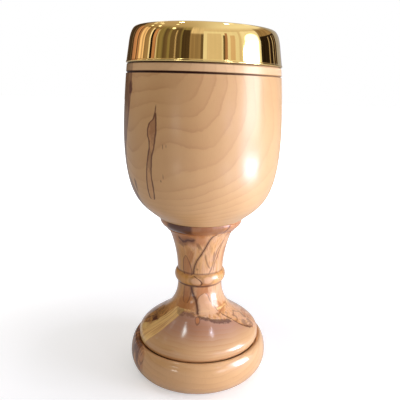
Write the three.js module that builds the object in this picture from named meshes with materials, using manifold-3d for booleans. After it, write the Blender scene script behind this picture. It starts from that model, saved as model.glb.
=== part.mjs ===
// A chalice: turned wooden bowl, stem and foot, with a gilt brass cup and rim band, held together
// by one threaded rod. Millimetres, +Z up, standing on z = 0 with the turning axis on Z.

import * as THREE from 'three';
import { mergeVertices } from 'three/addons/utils/BufferGeometryUtils.js';
import Module from 'manifold-3d';

const wasm = await Module();
wasm.setup();

// Fits: the glue line between turned pieces, and the room round the rod.
const glueLine = 0.3;
const rodClearance = 0.4;

// Fineness of the round forms.
const roundSteps = 40;
const smallRoundSteps = 24;

// Foot: a turned ring plate, widest near its middle, with a crown that dips to the dome's seat.
const footRadius = 42.9;
const footFlatRadius = 32.0;
const footWidestHeight = 12.4;
const footCrownRadius = 39.3;
const footCrownHeight = 22.25;
const footSeatHeight = 19.9;
const footShoulderRise = 5.3;
const footShoulderRun = 1.7;
const quirkFloorWidth = 1.2;

// Felt disc, let into the underside of the foot and standing a little proud of it.
const feltRadius = 29.0;
const feltThickness = 1.5;
const feltProud = 0.4;

// Dome and lower stem, in one piece with the rest of the stem.
const domeRadius = 37.75;
const domeSeatRadius = 33.6;
const domeWidestHeight = 4.1;
const domeSlopeRadius = 23.0;
const domeSlopeHeight = 18.3;
const domeSlope = 33.0;
const domeTopHandle = 16.6;
const domeEdgeHandle = 4.0;
const lowerStemHeight = 20.3;
const lowerStemRadius = 13.8;
const lowerStemHandle = 11.6;
const lowerCoveHandle = 2.4;

// Bead: a rounded ring with a crease above and below.
const beadRadius = 15.8;
const beadHeight = 7.6;
const beadLowerCrease = 13.95;
const beadUpperCrease = 14.15;

// Upper stem and the collar that carries the bowl.
const upperStemHeight = 26.2;
const upperStemRise = 10.0;
const upperCoveRadius = 20.7;
const upperCoveSlope = 17.0;
const upperCoveHandle = 2.0;
const filletSize = 0.6;
const collarRadius = 25.15;
const collarHeight = 6.9;
const collarEdge = 1.6;
const collarRounding = 0.35;
const collarUnderRun = 1.3;
const collarUnderRise = 1.6;

// Round tenons, one into the foot and one into the bowl.
const spigotRadius = 10.0;
const spigotLength = 5.0;
const tenonRadius = 10.0;
const tenonLength = 5.7;

// Bowl: the outline swells from the collar to its widest, then draws in to the band.
const bowlSeatRadius = 25.4;
const bowlRiseAngle = 38.0;
const bowlRiseHandle = 9.6;
const haunchRadius = 41.45;
const haunchHeight = 17.4;
const haunchAngle = 67.0;
const haunchLowerHandle = 9.2;
const haunchUpperHandle = 8.9;
const bowlRadius = 46.55;
const bowlWidestHeight = 53.4;
const bowlSwellHandle = 15.6;
const bowlUpperHandle = 10.0;
const bowlHeight = 90.2;
const bowlLean = 5.0;
const bowlLeanHandle = 10.0;
const shoulderRadius = 44.7;
const shoulderRounding = 0.9;
const grooveBelowShoulder = 5.0;
const grooveHeight = 1.0;
const grooveDepth = 0.7;
const bowlFloor = 6.0;

// Rim band: thin gilt brass, leaning in and rolled over the wooden edge into the cup.
const bandHeight = 20.2;
const bandWall = 0.9;
const bandFootRadius = 44.75;
const bandFootFlare = 0.3;
const bandFootHeight = 1.3;
const bandLeanHeight = 10.6;
const bandLeanRadius = 43.5;
const bandShoulderHandle = 6.5;
const lipRadius = 39.2;
const lipHandle = 2.0;
const lipInnerDrop = 3.5;
const lipSkirt = 6.0;

// Cup: spun brass, straight above and rounded below, on a ring of cork.
const cupRadius = 37.3;
const cupWall = 0.9;
const cupFloorRadius = 20.0;
const cupRoundHeight = 33.9;
const cupBedding = 0.4;
const corkThickness = 2.5;
const corkMargin = 0.5;

// Fastening: a boss under the cup, the rod, and the washers and nut in the foot.
const bossRadius = 9.0;
const bossHeight = 5.7;
const bossRoof = 0.8;
const rodRadius = 4.0;
const rodChamfer = 0.7;
const rodProtrusion = 0.7;
const rodEndRoom = 0.4;
const nutAcrossFlats = 13.0;
const nutHeight = 5.0;
const nutChamferAngle = 30.0;
const flatWasherRadius = 9.8;
const flatWasherThickness = 1.6;
const springWasherRadius = 7.2;
const springWasherThickness = 2.0;
const springWasherSlit = 1.2;
const springWasherSlant = 25.0;

// Levels, worked out from the sizes above.
const zUnderside = feltProud;
const zFeltCeiling = feltThickness;
const zSeat = zUnderside + footSeatHeight;
const zDomeWidest = zSeat + domeWidestHeight;
const zDomeSlope = zSeat + domeSlopeHeight;
const zBeadFoot = zDomeSlope + lowerStemHeight;
const zBeadTop = zBeadFoot + beadHeight;
const zCove = zBeadTop + upperStemHeight;
const zBowlSeat = zCove + collarHeight;
const zBowlWidest = zBowlSeat + bowlWidestHeight;
const zShoulder = zBowlSeat + bowlHeight;
const zTop = zShoulder + bandHeight;
const zSeam = zTop - lipSkirt;
const zSpigotFloor = zSeat - spigotLength - glueLine;
const zMortiseRoof = zBowlSeat + tenonLength + glueLine;
const zBowlFloor = zMortiseRoof + bowlFloor;
const zCupUnderside = zBowlFloor + corkThickness;
const zCupRound = zCupUnderside + cupRoundHeight;
const zBossFoot = zCupUnderside - bossHeight;
const zRodTop = zCupUnderside - bossRoof - glueLine;
const zRodFoot = zFeltCeiling + rodEndRoom;
const zNutFoot = zRodFoot + rodProtrusion;
const zNutTop = zNutFoot + nutHeight;
const zSpringTop = zNutTop + springWasherThickness;
const zCounterbore = zSpringTop + flatWasherThickness;

const rodHoleRadius = rodRadius + rodClearance;
const counterboreRadius = flatWasherRadius + glueLine;
const cupOuterRadius = cupRadius + cupWall;
const cavityRadius = cupOuterRadius + cupBedding;

const point = (r, z) => new THREE.Vector2(r, z);
const radians = THREE.MathUtils.degToRad;

// A point at a length and an angle from another; 0 points outwards and 90 up.
function reach(from, length, angle) {
  return point(from.x + length * Math.cos(radians(angle)), from.y + length * Math.sin(radians(angle)));
}

// Points along an outline curve. A positive offset moves them to its right-hand side.
function along(curve, steps, offset = 0) {
  const points = [];
  for (let i = 0; i <= steps; i++) {
    const place = curve.getPoint(i / steps);
    const heading = curve.getTangent(i / steps);
    points.push(point(place.x + heading.y * offset, place.y - heading.x * offset));
  }
  return points;
}

// A quarter, or any part, of an ellipse from one angle to another, in degrees.
function roundTurn(r, z, width, height, fromAngle, toAngle, steps) {
  const clockwise = toAngle < fromAngle;
  const [from, to] = [radians(fromAngle), radians(toAngle)];
  return along(new THREE.EllipseCurve(r, z, width, height, from, to, clockwise), steps);
}

function bend(start, startControl, endControl, end) {
  return new THREE.CubicBezierCurve(start, startControl, endControl, end);
}

// Turns an outline round the Z axis. It runs anticlockwise seen with r to the right and z up.
function turned(outline, steps = roundSteps) {
  const apart = outline.filter((p, i) => i === 0 || p.distanceTo(outline[i - 1]) > 1e-4);
  return new THREE.LatheGeometry(apart, steps).rotateX(Math.PI / 2);
}

// The same for a ring, whose outline closes on itself.
function turnedRing(outline, steps = roundSteps) {
  return turned([...outline, outline[0]], steps);
}

// A plain ring between two radii and two levels.
function plainRing(innerRadius, outerRadius, zLow, zHigh, steps = smallRoundSteps) {
  return turnedRing([
    point(innerRadius, zLow), point(outerRadius, zLow),
    point(outerRadius, zHigh), point(innerRadius, zHigh),
  ], steps);
}

function toSolid(geometry) {
  const bare = geometry.clone();
  bare.deleteAttribute('normal');
  bare.deleteAttribute('uv');
  const merged = mergeVertices(bare, 1e-4);
  const triangles = [];
  const index = merged.index.array;
  for (let i = 0; i < index.length; i += 3) {
    const [a, b, c] = [index[i], index[i + 1], index[i + 2]];
    if (a !== b && b !== c && c !== a) triangles.push(a, b, c);
  }
  return new wasm.Manifold(new wasm.Mesh({
    numProp: 3,
    vertProperties: new Float32Array(merged.attributes.position.array),
    triVerts: new Uint32Array(triangles),
  }));
}

function toGeometry(solid) {
  const mesh = solid.getMesh();
  const geometry = new THREE.BufferGeometry();
  geometry.setAttribute('position', new THREE.BufferAttribute(mesh.vertProperties, 3));
  geometry.setIndex(new THREE.BufferAttribute(mesh.triVerts, 1));
  geometry.computeVertexNormals();
  return geometry;
}

// Foot: underside with felt recess and counterbore, rounded edge, crown, seat and mortise.
function makeFoot() {
  const zWidest = zUnderside + footWidestHeight;
  const zCrown = zUnderside + footCrownHeight;
  const flatQuirk = domeSeatRadius + quirkFloorWidth;
  const edge = roundTurn(footFlatRadius, zWidest, footRadius - footFlatRadius, footWidestHeight,
    -90, 0, 8);
  const widest = point(footRadius, zWidest);
  const crown = point(footCrownRadius, zCrown);
  const shoulder = bend(widest, point(footRadius, zWidest + footShoulderRise),
    point(footCrownRadius + footShoulderRun, zCrown), crown);
  const dipHandle = (footCrownRadius - flatQuirk) / 3;
  const dip = bend(crown, point(footCrownRadius - dipHandle, zCrown),
    point(flatQuirk + dipHandle, zSeat), point(flatQuirk, zSeat));
  return turnedRing([
    point(rodHoleRadius, zCounterbore),
    point(counterboreRadius, zCounterbore),
    point(counterboreRadius, zFeltCeiling),
    point(feltRadius + glueLine, zFeltCeiling),
    point(feltRadius + glueLine, zUnderside),
    ...edge,
    ...along(shoulder, 6),
    ...along(dip, 3),
    point(spigotRadius + glueLine, zSeat),
    point(spigotRadius + glueLine, zSpigotFloor),
    point(rodHoleRadius, zSpigotFloor),
  ]);
}

// Stem: spigot, dome, lower stem, bead, upper stem, collar and tenon in one turning, bored through.
function makeStem() {
  const underDome = roundTurn(domeSeatRadius, zDomeWidest, domeRadius - domeSeatRadius, domeWidestHeight,
    -62, 0, 4);
  const slopeFoot = point(domeSlopeRadius, zDomeSlope);
  const domeFace = bend(point(domeRadius, zDomeWidest), point(domeRadius, zDomeWidest + domeEdgeHandle),
    reach(slopeFoot, domeTopHandle, -domeSlope), slopeFoot);
  const stemFoot = point(lowerStemRadius, zBeadFoot - 1.7);
  const lowerStem = bend(slopeFoot, reach(slopeFoot, lowerCoveHandle, 180 - domeSlope),
    point(lowerStemRadius, stemFoot.y - lowerStemHandle), stemFoot);
  const zBeadMiddle = (zBeadFoot + zBeadTop) / 2;
  const bulge = beadRadius - beadUpperCrease;
  const beadArcRadius = ((beadHeight / 2) ** 2 + bulge ** 2) / (2 * bulge);
  const beadArc = THREE.MathUtils.radToDeg(Math.asin(beadHeight / 2 / beadArcRadius));
  const bead = roundTurn(beadRadius - beadArcRadius, zBeadMiddle, beadArcRadius, beadArcRadius,
    -beadArc, beadArc, 6);
  const upperFoot = point(beadUpperCrease, zBeadTop + filletSize);
  const coveEnd = point(upperCoveRadius, zCove);
  const upperStem = bend(upperFoot, point(beadUpperCrease, upperFoot.y + upperStemRise),
    reach(coveEnd, upperCoveHandle, 180 + upperCoveSlope), coveEnd);
  const fillet = roundTurn(upperCoveRadius, zCove + filletSize / 2, filletSize, filletSize / 2,
    -90, 60, 3);
  const collarFoot = fillet[fillet.length - 1];
  const collarBrow = point(collarRadius, zBowlSeat - collarEdge);
  const collarUnder = bend(collarFoot, point(collarFoot.x + collarUnderRun, collarFoot.y + filletSize),
    point(collarRadius, collarBrow.y - collarUnderRise), collarBrow);
  return turnedRing([
    point(rodHoleRadius, zSeat - spigotLength),
    point(spigotRadius, zSeat - spigotLength),
    point(spigotRadius, zSeat),
    point(domeSeatRadius, zSeat),
    ...underDome,
    ...along(domeFace, 8),
    ...along(lowerStem, 7),
    point(beadLowerCrease, zBeadFoot),
    ...bead,
    ...along(upperStem, 9),
    ...fillet,
    ...along(collarUnder, 4),
    point(collarRadius, zBowlSeat - collarRounding),
    point(collarRadius - collarRounding, zBowlSeat),
    point(tenonRadius, zBowlSeat),
    point(tenonRadius, zBowlSeat + tenonLength),
    point(rodHoleRadius, zBowlSeat + tenonLength),
  ]);
}

// Outer skin of the rim band, from the foot up and over the lip into the cup, as three curves.
function bandSkin() {
  const foot = point(bandFootRadius, zShoulder + glueLine);
  const lean = point(bandLeanRadius, zShoulder + bandLeanHeight);
  const leanAngle = THREE.MathUtils.radToDeg(Math.atan2(lean.y - foot.y, lean.x - foot.x));
  const apex = point(lipRadius, zTop);
  return {
    foot,
    side: new THREE.LineCurve(foot, lean),
    shoulder: bend(lean, reach(lean, bandShoulderHandle, leanAngle), reach(apex, lipHandle, 0), apex),
  };
}

// The skin moved into the metal or past it, from above the foot to the lip's highest circle.
function bandOffset(depth) {
  const { side, shoulder } = bandSkin();
  return [...along(side, 1, -depth), ...along(shoulder, 5, -depth)];
}

// The inner quarter of the lip, moved the same way and ending on the given radius.
function lipInside(depth, endRadius) {
  return roundTurn(lipRadius, zTop - lipInnerDrop, lipRadius - endRadius, lipInnerDrop - depth,
    90, 180, 3);
}

// The share of a rising curve at which it reaches a level.
function shareAtLevel(curve, level) {
  let [low, high] = [0, 1];
  for (let i = 0; i < 40; i++) {
    const middle = (low + high) / 2;
    if (curve.getPoint(middle).y < level) low = middle;
    else high = middle;
  }
  return low;
}

// The rounded lower part of the cup or of its cavity, from the floor out to a radius.
function cupRound(radius, zFloor) {
  return roundTurn(cupFloorRadius, zCupRound, radius - cupFloorRadius, zCupRound - zFloor, -90, 0, 7);
}

// Bowl: mortise and seat below, the swelling wall with its burnt groove, the rebate under the
// band, the cavity for the cup and the pocket for the boss.
function makeBowl() {
  const seat = point(bowlSeatRadius, zBowlSeat);
  const widest = point(bowlRadius, zBowlWidest);
  const top = point(shoulderRadius, zShoulder - shoulderRounding);
  const haunch = point(haunchRadius, zBowlSeat + haunchHeight);
  const rise = bend(seat, reach(seat, bowlRiseHandle, bowlRiseAngle),
    reach(haunch, haunchLowerHandle, haunchAngle - 180), haunch);
  const swell = bend(haunch, reach(haunch, haunchUpperHandle, haunchAngle),
    reach(widest, bowlSwellHandle, -90), widest);
  const upper = bend(widest, reach(widest, bowlUpperHandle, 90),
    reach(top, bowlLeanHandle, bowlLean - 90), top);
  const zGroove = zShoulder - grooveBelowShoulder;
  const grooveFoot = shareAtLevel(upper, zGroove - grooveHeight / 2);
  const grooveTop = shareAtLevel(upper, zGroove + grooveHeight / 2);
  const wall = (share) => upper.getPoint(share);
  const belowGroove = [1, 2, 3, 4].map((i) => wall(grooveFoot * i / 4));
  const grooveBottom = point(wall(grooveFoot).x - grooveDepth, zGroove);
  const pocketRadius = bossRadius + glueLine;
  const zPocket = zBossFoot - glueLine;
  return turnedRing([
    point(rodHoleRadius, zMortiseRoof),
    point(tenonRadius + glueLine, zMortiseRoof),
    point(tenonRadius + glueLine, zBowlSeat),
    ...along(rise, 4),
    ...along(swell, 5),
    ...belowGroove,
    grooveBottom,
    wall(grooveTop),
    top,
    point(shoulderRadius - shoulderRounding / 3, zShoulder - shoulderRounding / 3),
    point(shoulderRadius - shoulderRounding, zShoulder),
    point(bandOffset(bandWall + glueLine)[0].x, zShoulder),
    ...bandOffset(bandWall + glueLine),
    ...lipInside(bandWall + glueLine, cavityRadius),
    ...cupRound(cavityRadius, zBowlFloor).reverse(),
    point(pocketRadius, zBowlFloor),
    point(pocketRadius, zPocket),
    point(rodHoleRadius, zPocket),
  ]);
}

// Rim band: a constant thin wall between the skin and the skin moved inwards.
function makeBand() {
  const { foot } = bandSkin();
  const outside = bandOffset(0).slice(1);
  const inside = bandOffset(bandWall).reverse();
  const flared = foot.x + bandFootFlare;
  const footTop = foot.x - (bandFootRadius - bandLeanRadius) * bandFootHeight / bandLeanHeight;
  return turnedRing([
    point(inside[inside.length - 1].x, foot.y),
    point(flared, foot.y),
    point(flared, foot.y + bandFootHeight / 2),
    point(footTop, foot.y + bandFootHeight),
    ...outside,
    ...lipInside(0, cupRadius),
    point(cupRadius, zSeam),
    point(cupOuterRadius, zSeam),
    ...lipInside(bandWall, cupOuterRadius).reverse(),
    ...inside,
  ]);
}

// Cup: a spun shell with a flat floor, a rounded lower wall and a straight upper wall.
function makeCup() {
  const zCupFloor = zCupUnderside + cupWall;
  return turned([
    point(0, zCupUnderside),
    ...cupRound(cupOuterRadius, zCupUnderside),
    point(cupOuterRadius, zSeam),
    point(cupRadius, zSeam),
    ...cupRound(cupRadius, zCupFloor).reverse(),
    point(0, zCupFloor),
  ]);
}

// Boss: brazed under the cup's floor, with a blind threaded hole for the rod.
function makeBoss() {
  const holeRadius = rodRadius + glueLine;
  const roof = bossHeight - bossRoof;
  return turned([
    point(0, roof),
    point(holeRadius, roof),
    point(holeRadius, 0),
    point(bossRadius - rodChamfer, 0),
    point(bossRadius, rodChamfer),
    point(bossRadius, bossHeight),
    point(0, bossHeight),
  ], smallRoundSteps);
}

function makeRod() {
  const length = zRodTop - zRodFoot;
  return turned([
    point(0, 0),
    point(rodRadius - rodChamfer, 0),
    point(rodRadius, rodChamfer),
    point(rodRadius, length - rodChamfer),
    point(rodRadius - rodChamfer, length),
    point(0, length),
  ], smallRoundSteps);
}

// Nut: a hexagonal prism with a round hole, its corners cut back by the chamfer cones.
function makeNut() {
  const cornerRadius = nutAcrossFlats / 2 / Math.cos(radians(30));
  const hexagon = new THREE.Shape();
  for (let i = 0; i < 6; i++) {
    const angle = radians(60 * i);
    hexagon[i ? 'lineTo' : 'moveTo'](cornerRadius * Math.cos(angle), cornerRadius * Math.sin(angle));
  }
  hexagon.closePath();
  const hole = new THREE.Path();
  hole.absarc(0, 0, rodRadius + glueLine, 0, 2 * Math.PI, true);
  hexagon.holes.push(hole);
  const prism = new THREE.ExtrudeGeometry(hexagon, {
    depth: nutHeight, bevelEnabled: false, curveSegments: smallRoundSteps / 2,
  });
  const beyond = cornerRadius * 1.2;
  const faceRadius = nutAcrossFlats / 2;
  const drop = (beyond - faceRadius) * Math.tan(radians(nutChamferAngle));
  const cones = turned([
    point(0, 0), point(faceRadius, 0), point(beyond, drop),
    point(beyond, nutHeight - drop), point(faceRadius, nutHeight), point(0, nutHeight),
  ], roundSteps);
  return toGeometry(toSolid(prism).intersect(toSolid(cones)));
}

// Spring washer: a flattened split ring, slit on the slant.
function makeSpringWasher() {
  const holeRadius = rodRadius + rodClearance;
  const ring = plainRing(holeRadius, springWasherRadius, 0, springWasherThickness);
  const saw = new THREE.BoxGeometry(springWasherRadius, springWasherSlit, springWasherThickness * 4)
    .rotateX(radians(springWasherSlant))
    .translate(holeRadius / 2 + springWasherRadius / 2, 0, springWasherThickness / 2);
  return toGeometry(toSolid(ring).subtract(toSolid(saw)));
}

function makeFlatWasher() {
  return plainRing(rodHoleRadius, flatWasherRadius, 0, flatWasherThickness);
}

function makeCorkRing() {
  return plainRing(bossRadius + glueLine, cupFloorRadius - corkMargin, 0, corkThickness);
}

function makeFelt() {
  return turned([
    point(0, 0), point(feltRadius, 0), point(feltRadius, feltThickness), point(0, feltThickness),
  ], roundSteps);
}

// Finishes seen on the object: satin lacquered woods, polished gilt, and the plain inner metals.
const finish = (color, roughness, metalness) => () =>
  new THREE.MeshStandardMaterial({ color, roughness, metalness });
const paleWood = finish(0xd9a878, 0.35, 0);
const figuredWood = finish(0xb9824e, 0.3, 0);
const footWood = finish(0xcf9b66, 0.3, 0);
const giltBrass = finish(0xd9b04a, 0.08, 1);
const brass = finish(0xb08d3e, 0.4, 1);
const steel = finish(0x9a9da1, 0.4, 1);
const cork = finish(0xa9744a, 0.9, 0);
const felt = finish(0x4a1f24, 1, 0);

// Each piece with its own finish. The turned outlines already hold their levels; the small
// pieces are made on z = 0 and lifted to theirs.
const pieces = [
  ['foot', makeFoot, footWood, 0],
  ['stem', makeStem, figuredWood, 0],
  ['bowl', makeBowl, paleWood, 0],
  ['rim_band', makeBand, giltBrass, 0],
  ['cup_liner', makeCup, giltBrass, 0],
  ['cup_boss', makeBoss, brass, zBossFoot],
  ['cork_ring', makeCorkRing, cork, zBowlFloor],
  ['tie_rod', makeRod, steel, zRodFoot],
  ['hex_nut', makeNut, steel, zNutFoot],
  ['spring_washer', makeSpringWasher, steel, zNutTop],
  ['flat_washer', makeFlatWasher, steel, zSpringTop],
  ['felt_pad', makeFelt, felt, 0],
];

const chalice = new THREE.Group();
for (const [name, make, material, level] of pieces) {
  const piece = new THREE.Mesh(make(), material());
  piece.name = name;
  piece.position.z = level;
  chalice.add(piece);
}

export default chalice;
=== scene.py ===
"""Dresses the frame of a turned wooden chalice with a gilt rim band and cup.

Metres, +Z up, standing on z = 0 with the turning axis on Z. The side seen first looks along -Y.
"""

import math

import bmesh
import bpy
from bpy.props import FloatProperty, FloatVectorProperty, IntProperty, PointerProperty
from bpy.types import Operator, Panel, PropertyGroup
from mathutils import Matrix, Vector
from mathutils.geometry import interpolate_bezier


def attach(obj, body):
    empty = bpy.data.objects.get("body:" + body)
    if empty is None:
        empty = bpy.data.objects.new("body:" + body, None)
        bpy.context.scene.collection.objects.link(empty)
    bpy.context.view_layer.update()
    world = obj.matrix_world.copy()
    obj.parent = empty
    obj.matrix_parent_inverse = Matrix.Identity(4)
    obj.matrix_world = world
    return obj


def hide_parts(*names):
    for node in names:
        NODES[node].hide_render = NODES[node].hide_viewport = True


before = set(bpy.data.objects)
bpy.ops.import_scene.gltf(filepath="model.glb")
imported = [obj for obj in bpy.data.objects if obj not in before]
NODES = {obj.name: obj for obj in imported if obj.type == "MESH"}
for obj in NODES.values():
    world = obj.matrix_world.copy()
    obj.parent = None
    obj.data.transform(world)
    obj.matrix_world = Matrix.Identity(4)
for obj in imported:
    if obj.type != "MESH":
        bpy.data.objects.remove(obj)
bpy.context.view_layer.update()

bl_info = {
    "name": "Turned Chalice",
    "version": (1, 0, 0),
    "blender": (4, 5, 0),
    "location": "View3D > Sidebar > Chalice",
    "description": "Makes the pieces, finishes and stage of a turned wooden chalice",
    "category": "Add Mesh",
}

MM = 0.001
CLEARANCE = 0.3 * MM  # between pieces that are glued or screwed together
NECK = 1.7 * MM  # from the crease under the bead down to the lower stem's end
COVE_TAIL, COVE_TAIL_TURN = 2.0 * MM, math.radians(197.0)  # how the upper stem ends
COLLAR_SWELL, COLLAR_DROP = 1.3 * MM, 1.6 * MM  # the curve from the fillet to the collar's edge
COLLAR_CHAMFER = 0.35 * MM
BAND_FOOT_FACE = 0.2 * MM  # how far inside the band's outer wall its lower face ends
BAND_ROLL_TUCK = 0.06  # share of the rolled foot's height that its middle lies inside
GROOVE_WALL, GROOVE_TUCK = 0.75, 0.12  # shares of the groove's depth and height at its corners
# The bowl's shoulder, as shares of its rounding inwards and downwards.
SHOULDER_CURVE = ((0.12, 0.5), (0.45, 0.13), (1.0, 0.0))
FELT_EDGE = 0.3 * MM
SHARP = math.radians(35.0)  # edges that turn by more stay crisp
WELD = 1e-6


def length(name, millimetres, description):
    """A size in the panel, written here in millimetres."""
    return FloatProperty(
        name=name,
        description=description,
        default=millimetres * MM,
        min=0.0,
        precision=4,
        unit="LENGTH",
    )


def angle(name, degrees, description):
    return FloatProperty(
        name=name,
        description=description,
        default=math.radians(degrees),
        subtype="ANGLE",
    )


def paint(red, green, blue):
    """A colour as a screen shows it, 0 to 255, turned into scene light."""
    return tuple(
        value / 12.92 if value <= 0.04045 else ((value + 0.055) / 1.055) ** 2.4
        for value in (red / 255, green / 255, blue / 255)
    )


def colour(name, shown, description):
    return FloatVectorProperty(
        name=name,
        description=description,
        default=paint(*shown),
        min=0.0,
        max=1.0,
        size=3,
        subtype="COLOR",
    )


class FootSizes(PropertyGroup):
    """Sizes of the foot and of the felt under it"""

    radius: length("Radius", 42.9, "Widest radius of the foot")
    flat_radius: length("Flat radius", 32.0, "Radius of the flat underside")
    underside: length("Underside", 0.4, "Level of the flat underside")
    widest: length("Widest level", 12.8, "Level where the foot is widest")
    crown_radius: length("Crown radius", 39.3, "Radius of the foot's highest circle")
    crown: length("Crown level", 22.65, "Level of the foot's highest circle")
    shoulder_rise: length("Shoulder rise", 5.3, "How long the side stays upright")
    shoulder_run: length("Shoulder run", 1.7, "How long the crown stays level")
    seat: length("Seat level", 20.3, "Level where the dome sits on the foot")
    seat_radius: length("Seat radius", 34.8, "Radius of the flat seat")
    mortise_radius: length("Mortise radius", 10.3, "Radius of the hole for the spigot")
    mortise: length("Mortise level", 15.0, "Level of the mortise's floor")
    rod_hole: length("Rod hole radius", 4.4, "Radius of the hole along the axis")
    counterbore_radius: length("Counterbore radius", 10.1, "Radius of the room for the nut")
    counterbore: length("Counterbore level", 11.2, "Level of the counterbore's roof")
    recess_radius: length("Recess radius", 29.3, "Radius of the felt's recess")
    recess: length("Recess level", 1.5, "Level of the recess's roof")
    felt_radius: length("Felt radius", 29.0, "Radius of the felt disc")
    felt_thickness: length("Felt thickness", 1.5, "Thickness of the felt disc")


class StemSizes(PropertyGroup):
    """Sizes of the dome, the stem, the bead and the collar"""

    dome_radius: length("Dome radius", 37.75, "Widest radius of the dome")
    dome_seat: length("Dome seat", 20.3, "Level where the dome sits on the foot")
    dome_seat_radius: length("Dome seat radius", 33.6, "Radius where the dome meets the foot")
    dome_widest: length("Dome widest level", 24.4, "Level where the dome is widest")
    dome_edge: length("Dome edge", 4.0, "How long the dome's edge stays upright")
    slope_radius: length("Slope radius", 23.0, "Radius where the dome's slope ends")
    slope_level: length("Slope level", 38.6, "Level where the dome's slope ends")
    slope: angle("Slope", 33.0, "How steeply the dome's top falls")
    slope_length: length("Slope length", 16.6, "How long the dome's top stays straight")
    stem_radius: length("Stem radius", 13.8, "Radius of the stem below the bead")
    stem_rise: length("Stem rise", 11.6, "How long the lower stem stays upright")
    cove_length: length("Cove length", 2.4, "How long the slope runs on into the stem")
    bead_foot: length("Bead foot", 58.9, "Level of the crease under the bead")
    bead_top: length("Bead top", 66.5, "Level of the crease over the bead")
    bead_radius: length("Bead radius", 15.8, "Widest radius of the bead")
    lower_crease: length("Lower crease", 13.95, "Radius of the crease under the bead")
    upper_crease: length("Upper crease", 14.15, "Radius of the crease over the bead")
    upper_rise: length("Upper rise", 10.0, "How long the upper stem stays upright")
    cove_radius: length("Cove radius", 20.7, "Radius where the upper stem ends")
    cove: length("Cove level", 92.7, "Level where the upper stem ends")
    fillet: length("Fillet", 0.6, "Width of the small step under the collar")
    collar_radius: length("Collar radius", 25.15, "Radius of the collar")
    collar_edge: length("Collar edge", 1.6, "Height of the collar's upright edge")
    bowl_seat: length("Bowl seat", 99.6, "Level of the collar's top")
    spigot_radius: length("Spigot radius", 10.0, "Radius of the tenons at both ends")
    spigot_foot: length("Spigot foot", 15.3, "Level of the lower tenon's end")
    tenon_top: length("Tenon top", 105.3, "Level of the upper tenon's end")


class BowlSizes(PropertyGroup):
    """Sizes of the wooden bowl"""

    seat_radius: length("Seat radius", 25.4, "Radius where the bowl meets the collar")
    rise_angle: angle("Rise angle", 38.0, "Angle at which the wall leaves the collar")
    rise_length: length("Rise length", 9.6, "How long the wall keeps that angle")
    haunch_radius: length("Haunch radius", 41.45, "Radius at the haunch")
    haunch: length("Haunch level", 117.0, "Level of the haunch")
    haunch_angle: angle("Haunch angle", 67.0, "Steepness at the haunch")
    haunch_below: length("Haunch below", 9.2, "How long the wall keeps it below the haunch")
    haunch_above: length("Haunch above", 8.9, "How long the wall keeps it above the haunch")
    radius: length("Radius", 46.55, "Widest radius of the bowl")
    widest: length("Widest level", 153.0, "Level where the bowl is widest")
    swell: length("Swell", 15.6, "How long the wall stays upright below the widest")
    draw: length("Draw", 10.0, "How long the wall stays upright above the widest")
    lean: angle("Lean", 5.0, "How far the wall leans in under the band")
    lean_length: length("Lean length", 10.0, "How long the wall keeps that lean")
    shoulder_radius: length("Shoulder radius", 44.7, "Radius of the shoulder's edge")
    shoulder: length("Shoulder level", 189.8, "Level of the shoulder under the band")
    shoulder_round: length("Shoulder rounding", 0.9, "Rounding of the shoulder's edge")
    groove: length("Groove level", 184.8, "Level of the burnt groove")
    groove_height: length("Groove height", 1.0, "Height of the burnt groove")
    groove_depth: length("Groove depth", 0.7, "Depth of the burnt groove")
    floor: length("Floor level", 111.6, "Level of the cavity's floor")
    cavity_radius: length("Cavity radius", 38.6, "Radius of the cavity's straight wall")
    pocket_radius: length("Pocket radius", 9.3, "Radius of the pocket for the boss")
    pocket: length("Pocket level", 108.1, "Level of the pocket's floor")
    mortise: length("Mortise level", 105.6, "Level of the mortise's roof")


class BandSizes(PropertyGroup):
    """Sizes of the gilt rim band and of the cup inside"""

    foot: length("Foot level", 190.1, "Level of the band's foot")
    foot_radius: length("Foot radius", 44.75, "Outer radius of the wall at the foot")
    foot_flare: length("Foot flare", 0.3, "How far the rolled foot stands out")
    foot_height: length("Foot height", 1.3, "Height of the rolled foot")
    lean: length("Lean level", 200.4, "Level where the wall starts to roll over")
    lean_radius: length("Lean radius", 43.5, "Outer radius there")
    shoulder: length("Shoulder", 6.5, "How long the wall runs on into the roll")
    lip_radius: length("Lip radius", 39.2, "Radius of the lip's highest circle")
    lip_flat: length("Lip flat", 2.0, "How long the lip stays level")
    top: length("Top", 210.0, "Level of the lip")
    inner_drop: length("Inner drop", 3.5, "How far the lip rounds down into the cup")
    seam: length("Seam level", 204.0, "Level where the band meets the cup")
    wall: length("Wall", 0.9, "Thickness of the band and of the cup")
    cup_radius: length("Cup radius", 37.3, "Inner radius of the cup")
    cup_floor_radius: length("Cup floor radius", 20.0, "Radius of the cup's flat floor")
    cup_underside: length("Cup underside", 114.1, "Level of the cup's lower face")
    cup_round: length("Cup round", 148.0, "Level where the cup's wall turns upright")


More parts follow.
